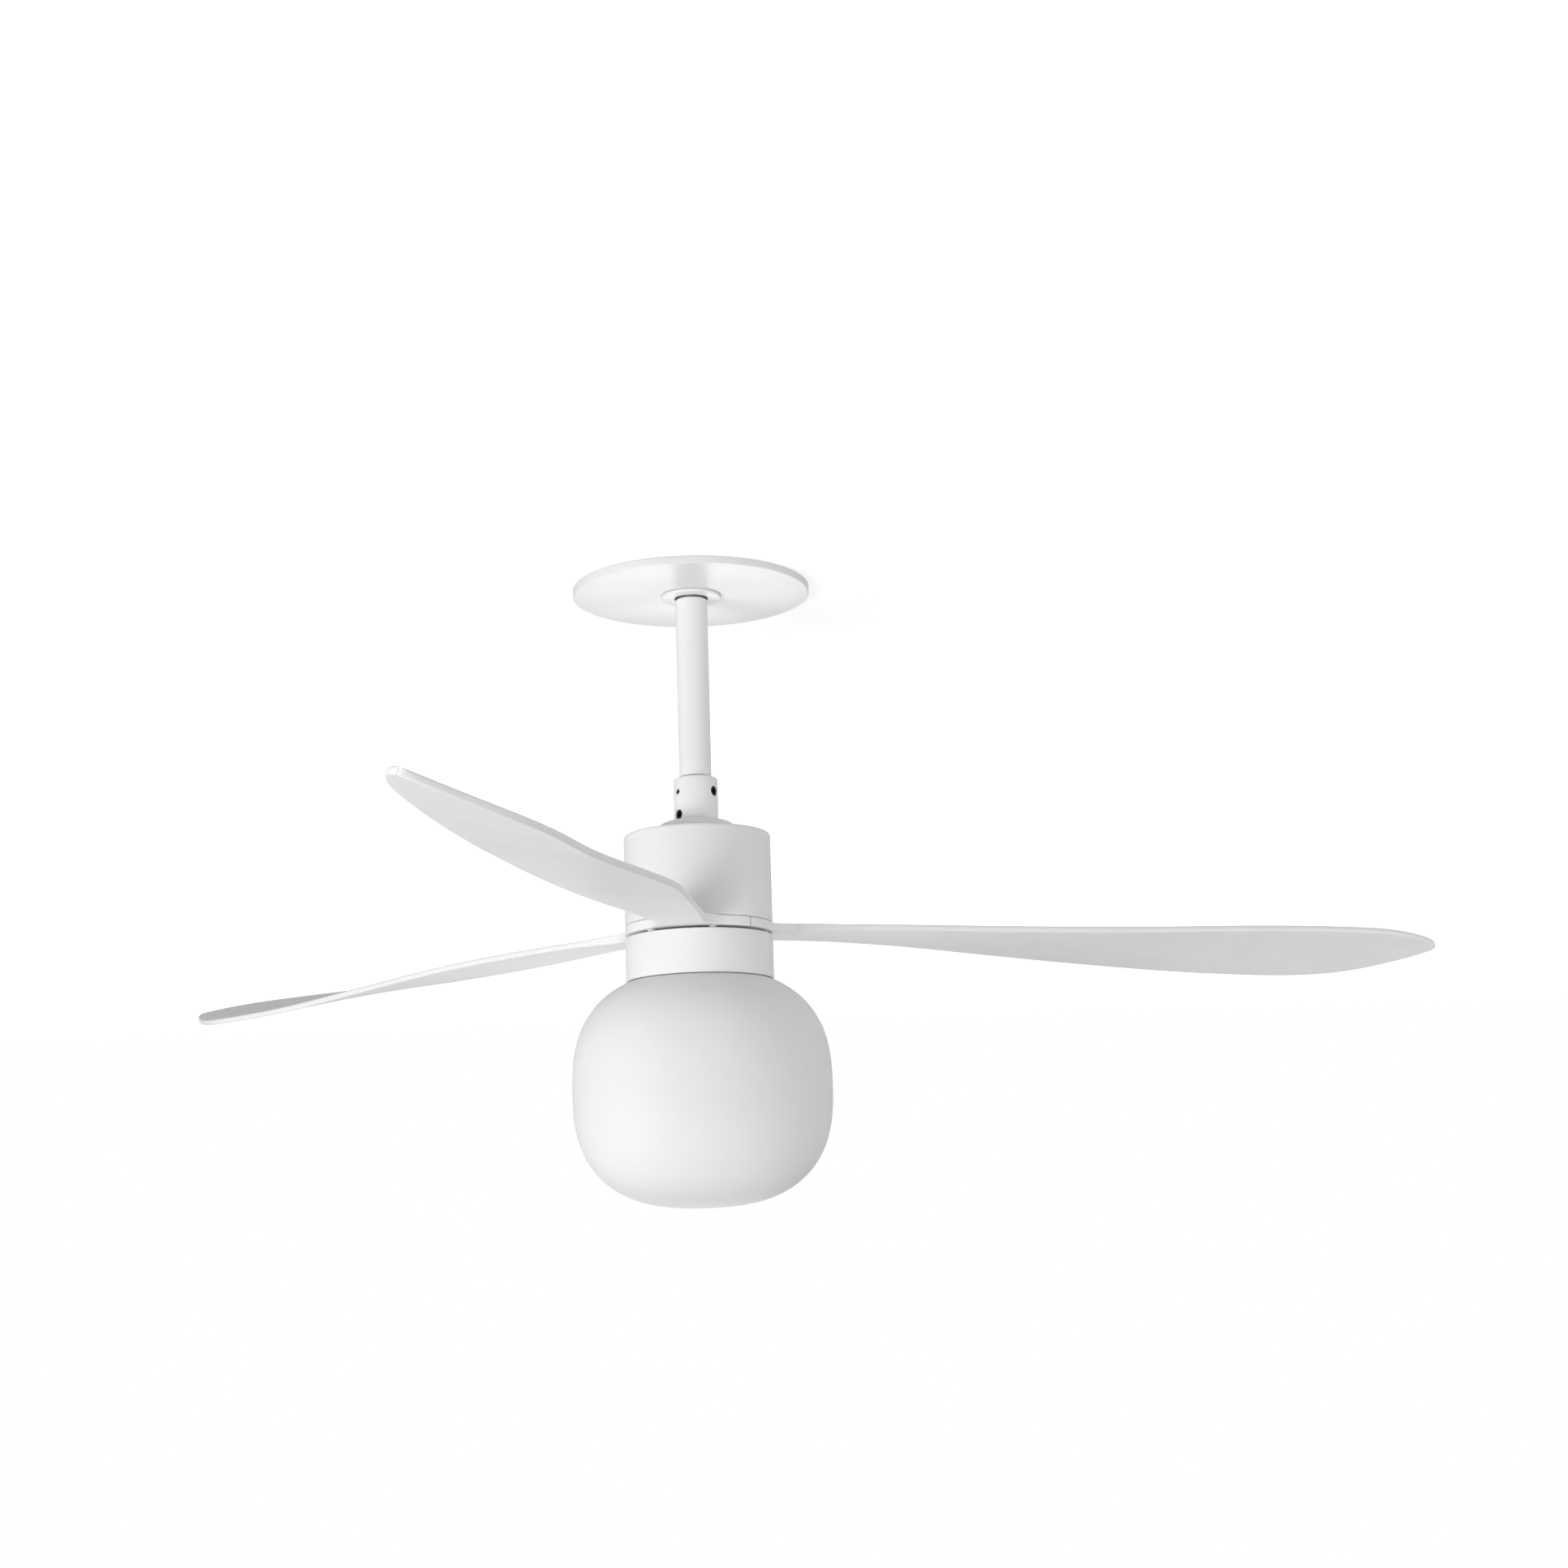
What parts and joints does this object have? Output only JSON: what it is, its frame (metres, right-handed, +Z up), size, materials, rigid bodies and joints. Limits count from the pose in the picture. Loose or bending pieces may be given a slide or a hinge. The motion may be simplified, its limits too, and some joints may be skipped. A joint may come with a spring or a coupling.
{
  "type": "ceiling fan with light",
  "caption": "Ceiling fan on a short downrod: twisted slim blades on a ring between a cylindrical motor housing and a light kit with a squared opal globe.",
  "frame": {"origin": "on the fan's axis, in the plane of the ceiling against which the mounting plate's flat top face is screwed", "axes": "+Z up along the downrod towards the ceiling, +X to the right and +Y away from the viewer in the front view; the first blade points 18.5 degrees from +X towards +Y"},
  "size_m": [1.1129, 1.1018, 0.5576],
  "materials": {
    "white_paint": "satin white powder coat",
    "white_blade": "satin white moulded ABS",
    "opal_glass": "satin-etched opal white glass, opaque when unlit",
    "zinc_steel": "zinc-plated pressed steel",
    "bright_steel": "turned steel",
    "black_steel": "black oxide steel",
    "cast_aluminium": "die-cast aluminium",
    "core_steel": "stacked electrical steel",
    "copper": "enamelled copper wire",
    "magnet": "sintered magnet ring",
    "heat_sink_aluminium": "plain aluminium",
    "green_board": "circuit board",
    "white_board": "white solder mask on an aluminium board",
    "grey_nylon": "moulded nylon",
    "black_rubber": "moulded rubber",
    "black_plastic": "moulded plastic"
  },
  "bodies": {
    "ceiling_side": {"mounting_plate": "zinc_steel", "wiring_cup": "zinc_steel", "cable_grommet": "black_rubber", "terminal_block": "grey_nylon", "ceiling_screw_1": "zinc_steel", "ceiling_screw_2": "zinc_steel", "ceiling_screw_3": "zinc_steel", "ceiling_screw_4": "zinc_steel", "plate_magnet_1": "bright_steel", "plate_magnet_2": "bright_steel", "plate_magnet_3": "bright_steel", "canopy_plate": "white_paint", "trim_ring": "white_paint"},
    "hanger_ball": {"hanger_ball": "grey_nylon"},
    "motor_unit": {"cross_pin": "bright_steel", "downrod": "zinc_steel", "downrod_sleeve": "white_paint", "coupling": "white_paint", "coupling_screw_1": "black_steel", "coupling_screw_2": "black_steel", "coupling_screw_3": "black_steel", "coupling_screw_4": "black_steel", "coupling_set_screw": "black_steel", "top_cap": "white_paint", "housing_screw_1": "bright_steel", "housing_screw_2": "bright_steel", "housing_screw_3": "bright_steel", "motor_housing": "white_paint", "housing_bracket": "zinc_steel", "controller_board": "green_board", "hollow_shaft": "bright_steel", "stator_core": "core_steel", "stator_winding": "copper", "upper_bearing": "bright_steel", "lower_bearing": "bright_steel", "light_kit_housing": "white_paint", "light_kit_plate": "zinc_steel", "light_kit_nut": "bright_steel", "led_driver": "black_plastic", "heat_sink": "heat_sink_aluminium", "led_board": "white_board", "bayonet_ring": "zinc_steel"},
    "rotor": {"rotor_upper_cover": "cast_aluminium", "rotor_lower_cover": "cast_aluminium", "magnet_ring": "magnet", "blade_hub": "cast_aluminium", "blade_1": "white_blade", "blade_2": "white_blade", "blade_3": "white_blade", "blade_screw_1": "white_paint", "blade_screw_2": "white_paint", "blade_screw_3": "white_paint", "blade_screw_4": "white_paint", "blade_screw_5": "white_paint", "blade_screw_6": "white_paint"},
    "shade": {"glass_shade": "opal_glass", "shade_collar": "zinc_steel"}
  },
  "joints": [
    {"name": "swing_side", "type": "hinge", "parent": "ceiling_side", "child": "hanger_ball", "pos_m": [0, 0, 0.01668], "axis": [1, 0, 0], "range_deg": [-1.5, 1.5]},
    {"name": "swing_fore", "type": "hinge", "parent": "hanger_ball", "child": "motor_unit", "pos_m": [0, 0, 0.01668], "axis": [0, 1, 0], "range_deg": [-1.5, 1.5]},
    {"name": "blade_spin", "type": "hinge", "parent": "motor_unit", "child": "rotor", "pos_m": [0, 0, -0.2783], "axis": [0, 0, 1], "continuous": true},
    {"name": "shade_twist", "type": "hinge", "parent": "motor_unit", "child": "shade", "pos_m": [0, 0, -0.3122], "axis": [0, 0, 1], "range_deg": [0, 25]}
  ]
}
